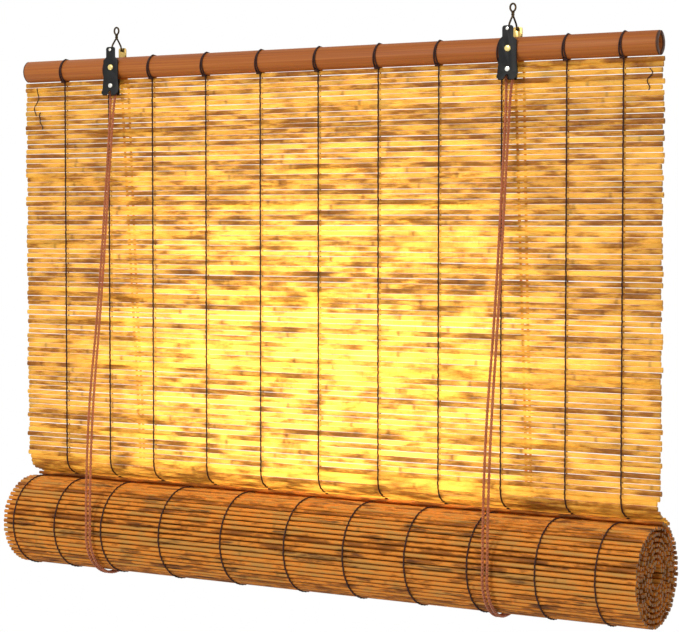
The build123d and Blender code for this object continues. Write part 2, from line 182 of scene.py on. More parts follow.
class Finish:
    """A material's node tree, and the nodes that finishes are made of."""

    def __init__(self, name):
        self.material = bpy.data.materials.new(name)
        self.material.use_nodes = True
        self.nodes = self.material.node_tree.nodes
        self.links = self.material.node_tree.links
        self.nodes.clear()
        self.output = self.nodes.new("ShaderNodeOutputMaterial")

    def node(self, kind, settings=None, values=(), out=0):
        """Adds a node, and returns the output named or numbered by out."""
        made = self.nodes.new(kind)
        for key, value in (settings or {}).items():
            if key == "stops":
                self.set_stops(made.color_ramp, value)
            else:
                setattr(made, key, value)
        pairs = values.items() if isinstance(values, dict) else enumerate(values)
        for key, value in pairs:
            if isinstance(value, Maths):
                self.links.new(value.socket, made.inputs[key])
            elif value is not None:
                made.inputs[key].default_value = value
        return Maths(self, made.outputs[out])

    @staticmethod
    def set_stops(ramp, stops):
        while len(ramp.elements) < len(stops):
            ramp.elements.new(1.0)
        for element, (place, colour) in zip(ramp.elements, stops):
            element.position = place
            element.color = (*colour, 1.0)

    def ramp(self, value, stops):
        return self.node("ShaderNodeValToRGB", {"stops": stops}, [value])

    def between(self, value, low, high):
        """0 below low, 1 above high, and a smooth step between them."""
        settings = {"interpolation_type": "SMOOTHSTEP"}
        values = {"Value": value, "From Min": low, "From Max": high}
        return self.node("ShaderNodeMapRange", settings, values)

    def mix(self, factor, first, second, blend="MIX"):
        settings = {"data_type": "RGBA", "blend_type": blend}
        values = {"Factor": factor, 6: first, 7: second}
        return self.node("ShaderNodeMix", settings, values, out=2)

    def place(self, scale=(1, 1, 1)):
        """Object coordinates, stretched by scale."""
        plain = self.node("ShaderNodeTexCoord", out="Object")
        return self.node("ShaderNodeVectorMath", {"operation": "MULTIPLY"}, [plain, scale])

    def part(self, axis, vector=None):
        """One coordinate of a vector, or of the object coordinates."""
        return self.node("ShaderNodeSeparateXYZ", None, [vector or self.place()], out=axis)

    def moved(self, scale, shift):
        """Object coordinates, stretched by scale and then moved by a vector."""
        return self.node("ShaderNodeVectorMath", {"operation": "ADD"}, [self.place(scale), shift])

    def noise(self, vector, scale=1.0, detail=3.0, rough=0.5):
        values = {"Vector": vector, "Scale": scale, "Detail": detail, "Roughness": rough}
        return self.node("ShaderNodeTexNoise", None, values, out="Fac")

    def shader(self, values, kind="ShaderNodeBsdfPrincipled"):
        return self.node(kind, None, values)

    def bump(self, height, strength=0.3, distance=0.001):
        values = {"Strength": strength, "Distance": distance, "Height": height}
        return self.node("ShaderNodeBump", None, values)

    def show(self, shader):
        self.links.new(shader.socket, self.output.inputs["Surface"])
        return self.material


def rgb(red, green, blue):
    return (red, green, blue, 1.0)


# Finishes
def reed_finish(name, straw, orange, glow, through, scorched=0.22, paleness_and_highlight=0.42, spread=0.13):
    """Varnished reed: streaks along it, the palest partly painted highlight, nodes across it and light
    coming through it.
    """
    finish = Finish(name)
    one = finish.node("ShaderNodeAttribute", {"attribute_name": "reed"}, out="Fac")
    shifted = finish.node("ShaderNodeCombineXYZ", None, [one * 91.0, one * 37.0, one * 53.0])
    long_streaks = finish.noise(finish.moved((27, 110, 110), shifted), 1.0, 4.0, 0.62)
    grain = finish.noise(finish.moved((70, 800, 800), shifted), 1.0, 4.0, 0.65)
    tone = long_streaks * 0.8 + grain * 0.2 + one * spread - spread / 2
    dark = tuple(channel * 0.68 for channel in orange)
    # The pale stop is partly the reeds' own paler streaks and partly painted highlight, standing in for
    # the bright lines of light on the varnish.
    cream_and_highlight = (1.1, 0.84, 0.24)
    pale = tuple(channel * 0.5 + paleness_and_highlight * share for channel, share in zip(straw, cream_and_highlight))
    colour = finish.ramp(tone, [(0.31, dark), (0.42, orange), (0.50, straw), (0.63, pale)])
    # Nodes of the reed: narrow darker bands at uneven places
    saw = (finish.part("X") * 3.1 + one * 17.0).join("FRACT")
    band = finish.between(saw, 0.0, 0.010) * (1 - finish.between(saw, 0.012, 0.022))
    colour = finish.mix(band * 0.35, colour, rgb(0.20, 0.07, 0.015))
    # Scorched patches that run across several reeds
    patch = finish.noise(finish.place((14, 60, 90)), 1.0, 2.0, 0.5)
    scorch = finish.between(patch, 0.58, 0.66) * finish.between(grain, 0.3, 0.6)
    colour = finish.mix(scorch * scorched, colour, rgb(0.085, 0.026, 0.007))
    # Cut ends, which face along X
    end = finish.part("X", finish.node("ShaderNodeNewGeometry", out="True Normal"))
    cut = finish.between(end * end, 0.5, 0.8)
    colour = finish.mix(cut * 0.8, colour, rgb(0.17, 0.075, 0.02))
    bump = finish.bump(grain * 0.7 + long_streaks * 0.5, 0.35, 0.0006)
    rough = grain * 0.25 + 0.36
    values = {"Base Color": colour, "Roughness": rough, "Normal": bump, "Specular IOR Level": 0.22}
    solid = finish.shader(values)
    sheer = finish.shader({"Color": rgb(*glow)}, "ShaderNodeBsdfTranslucent")
    sheerness = finish.between(tone, 0.32, 0.64) * 0.8 + 0.2
    lets_through = sheerness * (1 - scorch * 0.6) * (1 - band * 0.6) * through
    return finish.show(finish.node("ShaderNodeMixShader", None, [lets_through, solid, sheer]))


def twine_finish():
    """Dark plied twine: its plies show as slanting waves."""
    finish = Finish("dark_twine")
    fluff = finish.noise(finish.place((900, 900, 900)), 1.0, 3.0)
    turn = (finish.part("X") * 1.5 + finish.part("Z")) * 2400.0
    ply = turn.join("SINE") * 0.5 + 0.5
    stops = [(0.25, (0.010, 0.003, 0.002)), (0.8, (0.070, 0.016, 0.010))]
    colour = finish.ramp(fluff * 0.5 + ply * 0.5, stops)
    bump = finish.bump(fluff * 0.4 + ply * 0.6, 0.8, 0.0005)
    return finish.show(finish.shader({"Base Color": colour, "Roughness": 0.85, "Normal": bump}))


def cord_finish():
    """Brown braided cord with a fine fibre."""
    finish = Finish("braided_cord")
    fibre = finish.noise(finish.place((1400, 1400, 500)), 1.0, 4.0, 0.6)
    tint = finish.noise(finish.place((60, 60, 60)), 1.0, 2.0)
    stops = [(0.3, (0.30, 0.062, 0.016)), (0.7, (0.66, 0.20, 0.06))]
    colour = finish.ramp(fibre * 0.7 + tint * 0.3, stops)
    bump = finish.bump(fibre, 0.5, 0.0004)
    values = {"Base Color": colour, "Roughness": 0.6, "Normal": bump, "Sheen Weight": 0.3}
    return finish.show(finish.shader(values))


def lath_finish():
    """Stained and oiled bamboo, with dark end grain."""
    finish = Finish("stained_bamboo")
    grain = finish.noise(finish.place((3.5, 260, 420)), 1.0, 5.0, 0.6)
    broad = finish.noise(finish.place((1.6, 40, 60)), 1.0, 3.0)
    tone = grain * 0.65 + broad * 0.35
    stops = [(0.30, (0.29, 0.070, 0.011)), (0.5, (0.44, 0.125, 0.020)), (0.72, (0.56, 0.19, 0.036))]
    colour = finish.ramp(tone, stops)
    reach = finish.part("X").join("ABSOLUTE")
    end = finish.between(reach, HALF_WIDTH - 2.4 * MM, HALF_WIDTH - 0.8 * MM)
    colour = finish.mix(end * 0.9, colour, rgb(0.035, 0.014, 0.007))
    bump = finish.bump(grain, 0.25, 0.0004)
    rough = grain * 0.2 + 0.42
    values = {"Base Color": colour, "Roughness": rough, "Normal": bump, "Specular IOR Level": 0.3}
    return finish.show(finish.shader(values))


def metal_finish(name, colour, worn, metallic, rough, shine=0.5):
    """Plated or painted metal with faint marks of use."""
    finish = Finish(name)
    marks = finish.noise(finish.place((160, 160, 160)), 1.0, 5.0, 0.6)
    rub = finish.between(marks, 0.45, 0.72)
    shade = finish.mix(rub, rgb(*colour), rgb(*worn))
    bump = finish.bump(marks, 0.12, 0.0003)
    values = {
        "Base Color": shade,
        "Roughness": marks * 0.2 + rough,
        "Metallic": metallic,
        "Normal": bump,
        "Specular IOR Level": shine,
    }
    return finish.show(finish.shader(values))


def nylon_finish():
    """Dull white nylon."""
    finish = Finish("white_nylon")
    haze = finish.noise(finish.place((90, 90, 90)), 1.0, 2.0)
    colour = finish.mix(haze, rgb(0.72, 0.70, 0.64), rgb(0.84, 0.83, 0.79))
    return finish.show(finish.shader({"Base Color": colour, "Roughness": 0.4}))


# Shapes
def curve_object(kind, points):
    """A curve object with one spline of this kind through or along the points."""
    curve = bpy.data.curves.new("run", "CURVE")
    curve.dimensions = "3D"
    spline = curve.splines.new(kind)
    spline.points.add(len(points) - 1)
    for place, point in zip(spline.points, points):
        place.co = (*point, 1.0)
    return bpy.data.objects.new("run", curve)


def mesh_of(holder):
    """The mesh of a curve object, which is then deleted."""
    mesh = bpy.data.meshes.new_from_object(holder)
    curve = holder.data
    bpy.data.objects.remove(holder)
    bpy.data.curves.remove(curve)
    return mesh


def smooth_route(points, steps):
    """Points along the NURBS spline whose control points these are."""
    holder = curve_object("NURBS", points)
    spline = holder.data.splines[0]
    spline.order_u = 3
    spline.use_endpoint_u = True
    spline.resolution_u = steps
    mesh = mesh_of(holder)
    route = [vertex.co.copy() for vertex in mesh.vertices]
    bpy.data.meshes.remove(mesh)
    return route


def add_tube(bm, points, radius, resolution=1, closed=False):
    """Adds a round tube along the points."""
    holder = curve_object("POLY", points)
    holder.data.bevel_depth = radius
    holder.data.bevel_resolution = resolution
    holder.data.use_fill_caps = not closed
    holder.data.splines[0].use_cyclic_u = closed
    mesh = mesh_of(holder)
    bm.from_mesh(mesh)
    bpy.data.meshes.remove(mesh)


def spaced(route, step):
    """The route's points at even steps along it, with the direction of travel at each."""
    lengths = [0.0]
    for first, second in zip(route, route[1:]):
        lengths.append(lengths[-1] + (second - first).length)
    count = max(2, round(lengths[-1] / step))
    found, leg = [], 0
    for n in range(count + 1):
        reach = lengths[-1] * n / count
        while leg < len(route) - 2 and lengths[leg + 1] < reach:
            leg += 1
        span = lengths[leg + 1] - lengths[leg] or 1.0
        share = (reach - lengths[leg]) / span
        point = route[leg].lerp(route[leg + 1], share)
        found.append((point, (route[leg + 1] - route[leg]).normalized()))
    return found


def add_braid(bm, route, lay, across=Vector((1, 0, 0))):
    """A braided cord along a route: half its strands wind each way, over and under."""
    stops = spaced(route, lay / BRAID_STEPS)
    thread = CORD_RADIUS * 0.44
    for strand in range(BRAID_STRANDS):
        way = 1 if strand % 2 else -1
        points = []
        for n, (point, travel) in enumerate(stops):
            angle = way * (2 * pi * n / BRAID_STEPS) + pi * strand / BRAID_STRANDS * 2
            side = (across - travel * across.dot(travel)).normalized()
            other = travel.cross(side)
            weave = 1 + 0.10 * cos(2 * angle) * way
            reach = (CORD_RADIUS - thread) * weave
            points.append(point + side * cos(angle) * reach + other * sin(angle) * reach)
        add_tube(bm, points, thread)


def new_piece(name, bm, finish, slot, body, replaced=(), smooth=True):
    """Makes an object of a bmesh, and ties it to its body and nodes. The slot is not used."""
    mesh = bpy.data.meshes.new(name)
    bmesh.ops.recalc_face_normals(bm, faces=bm.faces)
    bm.to_mesh(mesh)
    bm.free()
    if smooth:
        mesh.shade_smooth()
        mesh.set_sharp_from_angle(angle=radians(50))
    mesh.materials.append(finish)
    piece = bpy.data.objects.new(name, mesh)
    bpy.context.scene.collection.objects.link(piece)
    if replaced:
        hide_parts(*replaced)
    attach(piece, body)
    return piece


def squash_with_lift(piece, anchor_z, low_z):
    """Gives the piece a mesh of its own. It does not flatten as the roll climbs.

    keep, the share of its height that would be left when the roll is fully up, is worked out but not
    used.
    """
    keep = 1 - LIFT / (anchor_z - low_z)
    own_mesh(piece)


def ease_edges(bm, edges, width):
    """Rounds these edges a little."""
    bmesh.ops.bevel(
        bm,
        geom=edges,
        offset=width,
        affect="EDGES",
        segments=2,
        profile=0.5,
        material=-1,
        clamp_overlap=True,
    )


def bevelled_copy(name, node, finish, slot, body, width, widen=1.0):
    """A node's shape with its triangles joined, its edges eased and its strap made wider."""
    bm = bmesh.new()
    bm.from_mesh(frame["nodes"][node].data)
    bmesh.ops.remove_doubles(bm, verts=bm.verts, dist=1e-6)
    bmesh.ops.dissolve_limit(bm, angle_limit=radians(1.5), verts=bm.verts, edges=bm.edges)
    sharp = [edge for edge in bm.edges if edge.is_manifold and edge.calc_face_angle(0) > radians(28)]
    ease_edges(bm, sharp, width)
    low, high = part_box(node)
    middle = Matrix.Translation(((low[0] + high[0]) / 2, 0, 0))
    strap = [vertex for vertex in bm.verts if vertex.co.z > RAIL_BOTTOM - 2 * MM]
    bmesh.ops.scale(bm, vec=(widen, 1, 1), space=middle.inverted(), verts=strap)
    piece = new_piece(name, bm, finish, slot, body, [node], smooth=False)
    piece.data.set_sharp_from_angle(angle=radians(40))
    for face in piece.data.polygons:
        face.use_smooth = True
    return piece


def loose_end(x, top, length, swing, seed):
    """A short run of left-over thread that wanders down the front of the reeds."""
    points = []
    for n in range(25):
        drop = length * n / 24
        sway = noise.noise(Vector((n * 0.09, seed, 0.0))) * 9 * MM
        out = 0.5 * MM * abs(noise.noise(Vector((n * 0.4, seed, 5.0))))
        points.append(Vector((x + sway, -swing - out, top - drop)))
    return points


def reed_master(sides, cuts):
    """A reed of unit length and width along X, with eased ends."""
    bm = bmesh.new()
    turned = Matrix.Rotation(pi / 2, 4, "Y")
    bmesh.ops.create_cone(
        bm, cap_ends=True, segments=sides, radius1=0.5, radius2=0.5, depth=1.0, matrix=turned
    )
    if cuts:
        long_edges = [edge for edge in bm.edges if edge.calc_length() > 0.9]
        bmesh.ops.subdivide_edges(bm, edges=long_edges, cuts=cuts)
    mesh = bpy.data.meshes.new("reed")
    bm.to_mesh(mesh)
    bm.free()
    return mesh


def add_reed(bm, master, layer, place, dice, bow, scatter, girth, over):
    """Adds a reed, bent and cut as real reeds are, and carried to its place by a function.

    place(across, out) turns an offset along the wall and one out of it into Y and Z.
    """
    first = len(bm.verts)
    bm.from_mesh(master)
    bm.verts.ensure_lookup_table()
    tall = REED_HEIGHT * dice.uniform(*girth)
    deep = REED_THICKNESS * dice.uniform(LEAST_DEPTH, 1.0)
    left = dice.uniform(0, scatter) - HALF_WIDTH - over
    right = HALF_WIDTH + over - dice.uniform(0, scatter)
    tag = dice.random()
    seed = Vector((dice.uniform(0, 90), dice.uniform(0, 90), 0.0))
    for vertex in bm.verts[first:]:
        x = left + (vertex.co.x + 0.5) * (right - left)
        wave = noise.noise(seed + Vector((x * WAVES, 0, 0)))
        swell = 1 + SWELL * noise.noise(seed + Vector((x * SWELLINGS, 7, 3)))
        across = vertex.co.z * tall * swell + wave * bow
        out = vertex.co.y * deep * swell
        vertex.co = (x, *place(across, out))
        vertex[layer] = tag


def wall_mesh(places, sides, cuts, bow, scatter, seed, girth, over=0.0):
    """Reeds at each place of a wall, as one bmesh with a value for each reed."""
    dice = random.Random(seed)
    bm = bmesh.new()
    layer = bm.verts.layers.float.new("reed")
    master = reed_master(sides, cuts)
    for place in places:
        add_reed(bm, master, layer, place, dice, bow, scatter, girth, over)
    bpy.data.meshes.remove(master)
    return bm


def hanging_place(number):
    """Place of a reed of the hanging mat."""
    middle = MAT_HIGH.z - REED_HEIGHT / 2 - number * PITCH

    def place(across, out):
        return out, middle + across

    return place


def bend_place(number):
    """Place of a reed where the mat bends back over the roll."""
    angle = ((number + 0.5) * PITCH - HALF_GAP) / BEND_RADIUS

    def place(across, out):
        turn = angle - across / BEND_RADIUS
        radius = BEND_RADIUS - out
        return BEND_RADIUS - radius * cos(turn), BEND_TOP_Z - radius * sin(turn)

    return place


def lead_place(number):
    """Place of a reed that leads from the bend down on to the roll's back."""
    past = (BEND_REEDS + number + 0.5) * PITCH - HALF_GAP - BEND_RADIUS * BEND_ANGLE
    angle = BEND_ANGLE - past / LEAD_RADIUS
    radius = LEAD_RADIUS - min(1.5, 0.7 * number) * MM

    def place(across, out):
        turn = angle - across / radius
        return (radius + out) * cos(turn), ROLL_Z + (radius + out) * sin(turn)

    return place


def spiral(reach):
    """Half circle, angle and radius of the roll's middle line, this far along it."""
    for half_turn in range(HALF_TURNS):
        radius = ROLL_RADIUS - half_turn * TURN_PITCH / 2 - REED_THICKNESS / 2
        if reach <= pi * radius:
            return half_turn, BEND_ANGLE - pi * half_turn - reach / radius, radius
        reach -= pi * radius
    return None


def spiral_spot(half_turn, angle, radius):
    """Y and Z on the spiral. Every other half circle has its centre half a turn's pitch away."""
    shift = TURN_PITCH / 2 if half_turn % 2 else 0.0
    y = -shift * cos(BEND_ANGLE) + radius * cos(angle)
    return y, ROLL_Z - shift * sin(BEND_ANGLE) + radius * sin(angle)


def roll_place(reach, sway=0.0):
    """Place of a reed of the roll. Inner turns may sway in and out, as loose ones do."""
    half_turn, angle, radius = spiral(reach)

    def place(across, out):
        here = radius + out + sway
        return spiral_spot(half_turn, angle - across / radius, here)

    return place


def mat_spot(x):
    """Where a twine of the hanging mat is, by reeds passed, distance out and sway."""
    gap_z = MAT_HIGH.z - REED_HEIGHT - HALF_GAP

    def spot(step, out, beside):
        return (x + beside, -out, gap_z - (step - 1) * PITCH)

    return spot


def bend_spot(x):
    """Where a twine of the bend is."""

    def spot(step, out, beside):
        turn = (step * PITCH - HALF_GAP) / BEND_RADIUS
        radius = BEND_RADIUS + out
        return (x + beside, BEND_RADIUS - radius * cos(turn), BEND_TOP_Z - radius * sin(turn))

    return spot


def ring_spot(x, ring_x):
    """Where a twine of the roll is. It slips aside on its way from the back to the front."""

    def spot(step, out, beside):
        half_turn, angle, radius = spiral(step * PITCH)
        y, z = spiral_spot(half_turn, angle, radius + out)
        gone = min(1.0, (BEND_ANGLE - angle) / (0.9 * pi))
        slipped = gone * gone * (3 - 2 * gone)
        return (x + (ring_x - x) * slipped + beside, y, z)

    return spot


def stitched(spot, start, count, swing, sides=(1, -1), per_reed=5):
    """Runs of thread along a wall, which dip a little in each gap between reeds."""
    for side in sides:
        points = []
        for n in range(count * per_reed + 1):
            step = n / per_reed
            dip = THREAD_DIP * abs(cos(pi * step)) ** 3
            sway = 0.15 * MM * sin(2.3 * step) + 0.12 * MM * sin(5.1 * step)
            points.append(spot(start + step, side * (swing - dip), sway))
        yield points


# Sizes and colours of the panel
class ReedSettings(bpy.types.PropertyGroup):
    bow: bpy.props.FloatProperty(
        name="Bow",
        description="How far a reed wanders off its line",
        default=0.6 * MM,
        unit="LENGTH",
    )
    scatter: bpy.props.FloatProperty(
        name="Scatter",
        description="How uneven the reeds' ends are",
        default=3.5 * MM,
        unit="LENGTH",
    )
    straw: bpy.props.FloatVectorProperty(
        name="Straw",
        description="Main colour of the reeds",
        default=(0.76, 0.38, 0.055),
        subtype="COLOR",
    )
    orange: bpy.props.FloatVectorProperty(
        name="Orange",
        description="Colour of the dark streaks",
        default=(0.40, 0.125, 0.012),
        subtype="COLOR",
    )
    glow: bpy.props.FloatVectorProperty(
        name="Glow",
        description="Colour of light through the reeds",
        default=(1.0, 0.76, 0.28),
        subtype="COLOR",
    )
    through: bpy.props.FloatProperty(
        name="Through",
        description="Share of light that a reed lets through",
        default=0.63,
        subtype="FACTOR",
    )


class CordSettings(bpy.types.PropertyGroup):
    lay: bpy.props.FloatProperty(
        name="Lay",
        description="Length of one turn of the braid",
        default=9 * MM,
        unit="LENGTH",
    )
    thread: bpy.props.FloatProperty(
        name="Thread",
        description="Radius of the warp twine",
        default=0.9 * MM,
        unit="LENGTH",
    )


class StageSettings(bpy.types.PropertyGroup):
    floor_drop: bpy.props.FloatProperty(
        name="Floor",
        description="Height of the floor below the hooks",
        default=1.6,
        unit="LENGTH",
    )
    key_power: bpy.props.FloatProperty(
        name="Key light",
        description="Power of the light in front",
        default=38.0,
        unit="POWER",
    )
    fill_power: bpy.props.FloatProperty(
        name="Fill light",
        description="Power of the light from the right",
        default=9.0,
        unit="POWER",
    )
    back_power: bpy.props.FloatProperty(
        name="Window light",
        description="Power of the light behind the mat",
        default=9.4,
        unit="POWER",
    )
    lens: bpy.props.FloatProperty(
        name="Lens",
        description="Focal length of the camera in millimetres",
        default=111.68,
        unit="CAMERA",
    )


# Operators
def rolled_reed(values):
    """The reeds' finish where no light comes through them, and the sun has browned them."""
    if "rolled_reed" in bpy.data.materials:
        return bpy.data.materials["rolled_reed"]
    browned = (1.14, 0.78, 0.58)
    straw = [channel * share for channel, share in zip(values.straw, browned)]
    colours = (straw, values.orange[:], values.glow[:])
    # The roll gets less cream: its pale streaks, which are partly painted highlight, are fainter.
    return reed_finish("rolled_reed", *colours, 0.0, scorched=0.85, paleness_and_highlight=0.17, spread=0.17)


def new_wall(name, places, finish, body, node, **shape):
    """A piece made of reeds at these places."""
    return new_piece(name, wall_mesh(places, **shape), finish, "reed", body, [node])


class SHADE_OT_mat(bpy.types.Operator):
    """Models the hanging reeds and the ones that bend back on to the roll"""

    bl_idname = "shade.mat"
    bl_label = "Reed mat"

    def execute(self, context):
        values = context.scene.shade_reeds
        colours = (values.straw[:], values.orange[:], values.glow[:])
        finish = reed_finish("reed", *colours, values.through)
        browned = rolled_reed(values)
        hanging = new_wall(
            "hanging_reeds",
            [hanging_place(n) for n in range(RAIL_REEDS, MAT_REEDS)],
            finish,
            "headrail",
            "reed_mat",
            sides=10,
            cuts=13,
            bow=values.bow,
            scatter=values.scatter,
            seed=4,
            girth=(1.16, 1.30),
            over=5 * MM,
        )
        new_wall(
            "gripped_reeds",
            [hanging_place(n) for n in range(RAIL_REEDS)],
            browned,
            "headrail",
            "reed_mat",
            sides=10,
            cuts=1,
            bow=0.0,
            scatter=1 * MM,
            seed=3,
            girth=(0.96, 1.0),
            over=-2 * MM,
        )
        squash_with_lift(hanging, RAIL_BOTTOM, MAT_LOW.z)
        pulled = {"sides": 10, "cuts": 13, "bow": 0.4 * MM, "scatter": values.scatter * 0.6}
        places = [bend_place(n) for n in range(BEND_REEDS)]
        shape = {**pulled, "seed": 5, "girth": (1.13, 1.25), "over": 1 * MM}
        new_wall("bend_reeds", places, finish, "cradle", "mat_bend", **shape)
        places = [lead_place(n) for n in range(LEAD_REEDS)]
        shape = {**pulled, "seed": 9, "girth": (1.05, 1.18)}
        new_wall("lead_reeds", places, finish, "cradle", "mat_bend", **shape)
        return {"FINISHED"}


class SHADE_OT_roll(bpy.types.Operator):
    """Models the rolled reeds, with the turns inside as loose as they show at the ends"""

    bl_idname = "shade.roll"
    bl_label = "Rolled reeds"

    def execute(self, context):
        values = context.scene.shade_reeds
        dice = random.Random(8)
        finish = rolled_reed(values)
        outer, inner = [], []
        reach = PITCH / 2
        while spiral(reach):
            half_turn = spiral(reach)[0]
            if half_turn < TIDY_HALF_TURNS:
                outer.append(roll_place(reach))
            else:
                sway = LOOSENESS * noise.noise(Vector((reach * 25, half_turn * 0.7, 0)))
                inner.append(roll_place(reach + dice.uniform(-0.5, 0.5) * MM, sway))
            reach += PITCH
        shape = {"sides": 10, "cuts": 9, "bow": 0.35 * MM, "scatter": values.scatter * 0.35}
        shape.update(seed=6, girth=(0.95, 1.07))
        new_wall("rolled_reeds_outer", outer, finish, "roll", "rolled_mat", **shape)
        shape = {"sides": 8, "cuts": 0, "bow": 0.0, "scatter": values.scatter * 0.6}
        shape.update(seed=7, girth=(0.95, 1.12))
        new_wall("rolled_reeds_inner", inner, finish, "roll", "rolled_mat", **shape)
        return {"FINISHED"}


class SHADE_OT_twines(bpy.types.Operator):
    """Models the twined warp threads on the mat, on the bend and round the roll"""

    bl_idname = "shade.twines"
    bl_label = "Warp twines"

    def execute(self, context):
        thread = context.scene.shade_cords.thread
        swing = REED_THICKNESS / 2 + thread * 0.75
        finish = twine_finish()
        hanging, bend, rings = bmesh.new(), bmesh.new(), bmesh.new()
        for x, ring_x in zip(TWINE_X, RING_X):
            for points in stitched(mat_spot(x), RAIL_REEDS, MAT_REEDS - RAIL_REEDS, swing):
                add_tube(hanging, points, thread)
            for points in stitched(bend_spot(x), 0, BEND_REEDS, swing):
                add_tube(bend, points, thread)
            for points in stitched(ring_spot(x, ring_x), 0, RING_REEDS, swing, (1,)):
                add_tube(rings, points, thread)
        for x, top, length, seed in LOOSE_ENDS:
            add_tube(hanging, loose_end(x, top, length, swing, seed), thread * 0.7)
        nodes = [f"warp_twine_{n:02d}" for n in range(1, 12)]
        warp = new_piece("warp_threads", hanging, finish, "warp_twine", "headrail", nodes)
        squash_with_lift(warp, RAIL_BOTTOM, MAT_LOW.z)
        new_piece("bend_threads", bend, finish, "warp_twine", "cradle")
        new_piece("roll_threads", rings, finish, "warp_twine", "roll", ["roll_twines"])
        return {"FINISHED"}


class SHADE_OT_rail(bpy.types.Operator):
    """Finishes the two laths of the rail and models the lashings round them"""

    bl_idname = "shade.rail"
    bl_label = "Head rail"

    def execute(self, context):
        wood = lath_finish()
        for node in ("front_batten", "rear_batten"):
            bevelled_copy(f"{node}_lath", node, wood, "bamboo_lath", "headrail", 0.3 * MM)
        thread = context.scene.shade_cords.thread
        finish = bpy.data.materials["dark_twine"]
        bm = bmesh.new()
        for x in TWINE_X:
            for points in lashing_strands(x, thread):
                add_tube(bm, points, thread)
            knot = Vector((x - 1.0 * MM, -RAIL_FACE_Y * 0.45, RAIL_BOTTOM - 1.0 * MM))
            add_knot(bm, knot, TWINE_KNOT, thread)
        nodes = [f"rail_lashing_{n:02d}" for n in range(1, 12)]
        new_piece("rail_lashings", bm, finish, "warp_twine", "headrail", nodes)
        return {"FINISHED"}


def rail_section(share, out):
    """Y and Z of a point round the rail. share runs from 0 at the front's foot over the top to 2."""
    depth = RAIL_FACE_Y - RAIL_BACK_Y
    half = (RAIL_TOP - RAIL_BOTTOM) / 2
    radius = (half * half + depth * depth) / (2 * depth)
    centre = RAIL_FACE_Y - radius
    middle = (RAIL_TOP + RAIL_BOTTOM) / 2
    reach = atan2(half, RAIL_BACK_Y - centre)
    facing = -1 if share <= 1 else 1
    along = share if share <= 1 else 2 - share
    angle = -reach + 2 * reach * along
    return facing * (centre + (radius + out) * cos(angle)), middle + (radius + out) * sin(angle)


def lashing_strands(x, thread):
    """Two strands from a knot under the rail, apart at its foot and together over its top."""
    for foot in LASHING_FEET:
        under = (x + foot * 0.5, 0.0, RAIL_BOTTOM - thread)
        points = [under]
        for n in range(LASHING_STEPS + 1):
            share = 2 * n / LASHING_STEPS
            lean = min(share, 2 - share)
            y, z = rail_section(share, thread)
            points.append((x + foot * (1 - lean) + LASHING_TOP * lean, y, z))
        yield [*points, under]


def add_knot(bm, centre, size, thread):
    """Overhand knot: three loops of thread round one place."""
    points = []
    for n in range(48):
        angle = 2 * pi * n / 48
        reach = size * (1 + 0.45 * cos(3 * angle))
        x, y = reach * cos(2 * angle), reach * 0.8 * sin(2 * angle)
        points.append(centre + Vector((x, y, size * 0.5 * sin(3 * angle))))
    add_tube(bm, points, thread, closed=True)


class SHADE_OT_brackets(bpy.types.Operator):
    """Models the straps, rivets, pins and pulleys of the two brackets"""

    bl_idname = "shade.brackets"
    bl_label = "Brackets"

    def execute(self, context):
        black, scuffed = (0.005, 0.005, 0.005), (0.014, 0.013, 0.012)
        paint = metal_finish("black_paint", black, scuffed, 0.0, 0.42, 0.22)
        brass = metal_finish("brass_sheet", (0.62, 0.42, 0.13), (0.42, 0.26, 0.08), 1.0, 0.2)
        gold = metal_finish("brass_rivet", (0.86, 0.68, 0.26), (0.70, 0.50, 0.18), 1.0, 0.14)
        nickel = metal_finish("nickel_rivet", (0.86, 0.84, 0.76), (0.66, 0.63, 0.56), 1.0, 0.14)
        nylon = nylon_finish()
        for side in SIDES:
            rows = [
                ("front_plate", paint, "black_steel", "headrail", 0.3),
                ("inner_plate", paint, "black_steel", "headrail", 0.2),
                ("rear_plate", brass, "brass", "headrail", 0.2),
                ("rail_rivet", gold, "brass", "headrail", 0.35),
                ("pulley_pin", nickel, "nickel", "headrail", 0.3),
                ("pulley", nylon, "pulley_nylon", f"pulley_{side}", 0.2),
            ]
            for node, finish, slot, body, width in rows:
                widen = STRAP_WIDEN if node == "front_plate" else 1.0
                name = f"{node}_{side}"
                bevelled_copy(f"{name}_made", name, finish, slot, body, width * MM, widen)
        return {"FINISHED"}


def front_route(x, turn, pin):
    """Control points of a strand from its pulley down to the front of the roll."""
    low_x = x + turn * STRAND_GAP
    return [
        Vector((x + turn * STRAND_X, pin.y, pin.z - CORD_DROP)),
        Vector((low_x, pin.y - 1.2 * MM, pin.z - 13 * MM)),
        Vector((x + turn * 2.0 * MM, pin.y - 6 * MM, pin.z - 60 * MM)),
        Vector((x + turn * 2.2 * MM, (pin.y - SLING_RADIUS) / 2 - 2 * MM, (pin.z + ROLL_Z) / 2)),
        Vector((x + turn * 3.2 * MM, -SLING_RADIUS + 7 * MM, ROLL_Z + 160 * MM)),
        Vector((low_x, -SLING_RADIUS, ROLL_Z + 50 * MM)),
        Vector((low_x, -SLING_RADIUS, ROLL_Z)),
    ]


def sling_route(x, turn):
    """Points of a strand's half circle under the roll, which slips to the left on its way."""
    points = []
    for n in range(25):
        angle = pi * n / 24
        aside = turn * STRAND_GAP - SLIP * min(1.0, n / 12)
        y, z = -SLING_RADIUS * cos(angle), ROLL_Z - SLING_RADIUS * sin(angle)
        points.append(Vector((x + aside, y, z)))
    return points


